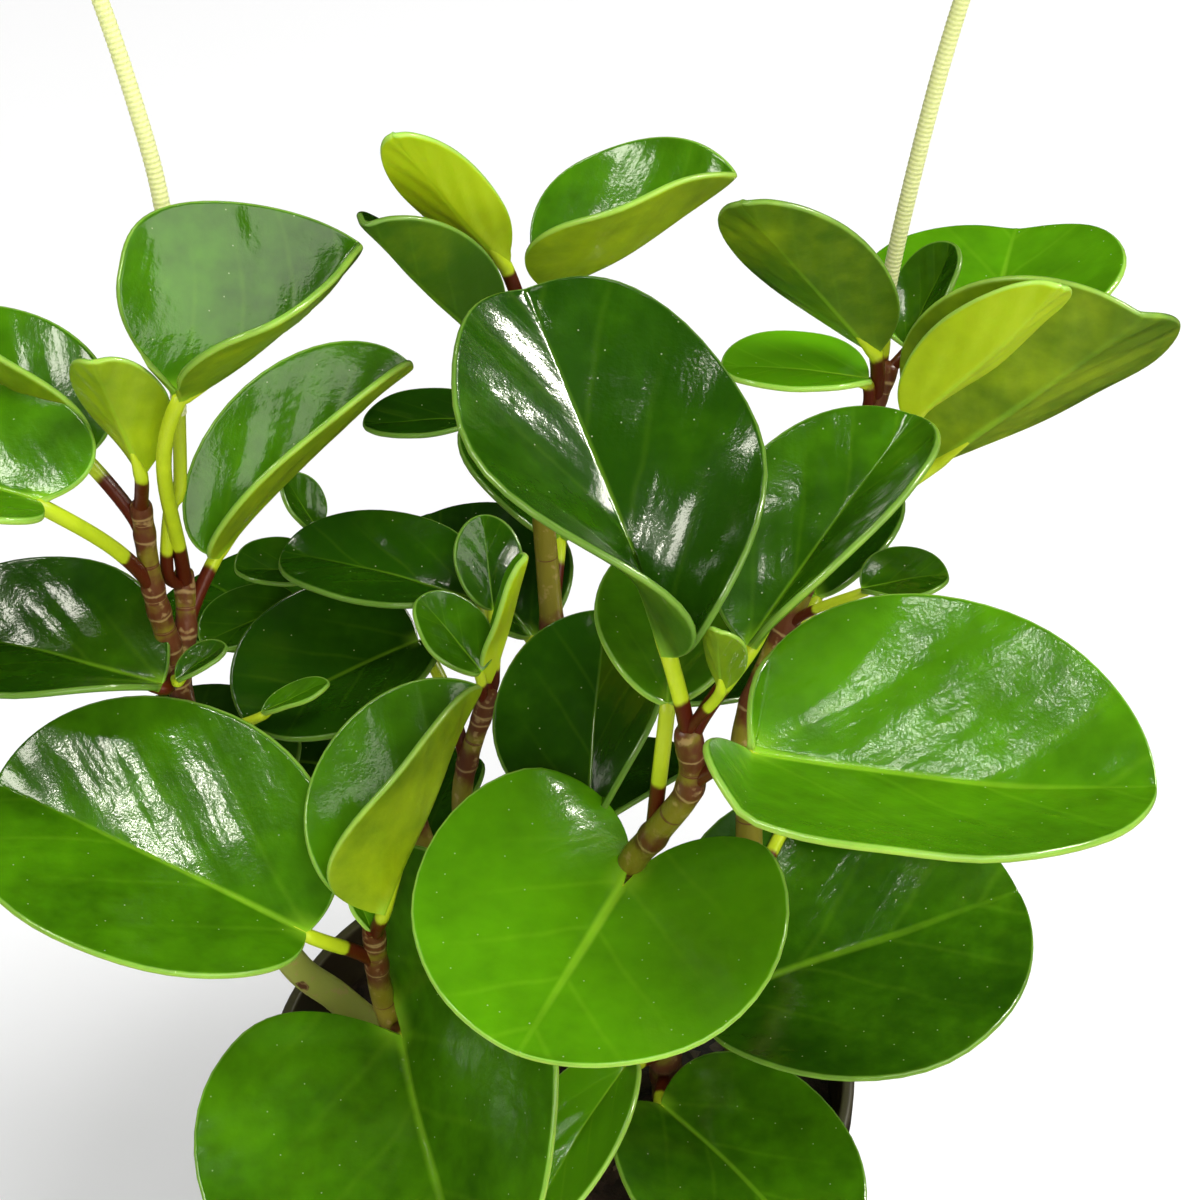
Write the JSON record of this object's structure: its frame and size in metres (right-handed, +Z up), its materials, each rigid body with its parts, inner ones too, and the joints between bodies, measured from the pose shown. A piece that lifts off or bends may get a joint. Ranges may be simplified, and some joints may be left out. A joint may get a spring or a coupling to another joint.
{
  "type": "potted baby rubber plant",
  "caption": "Bushy house plant with thick, glossy, spoon-shaped green leaves on branching stems and slim pale flower spikes, standing in a thin dark plastic nursery pot of soil.",
  "frame": {"origin": "middle of the flat pad under the pot, on the surface that the pot stands on", "axes": "+Z up along the pot's axis, +Y away from the viewer towards the plant's back, +X to the viewer's right"},
  "size_m": [0.2311, 0.1878, 0.3702],
  "materials": {
    "pot_plastic": "thin moulded dark brown plastic, satin",
    "soil": "dark crumbly potting soil, matt",
    "foliage": "thick waxy green leaves, glossy above and duller yellow-green below, on red-brown to olive stems",
    "flower_spike": "pale yellow-green rod with fine ringed grain, matt"
  },
  "bodies": {
    "root": {"pot": "pot_plastic", "soil": "soil", "shoot_front": "foliage", "shoot_left": "foliage", "shoot_front_left": "foliage", "shoot_middle": "foliage", "shoot_back": "foliage", "shoot_right": "foliage", "shoot_back_left": "foliage", "flower_spike_left": "flower_spike", "flower_spike_right": "flower_spike"}
  },
  "joints": []
}
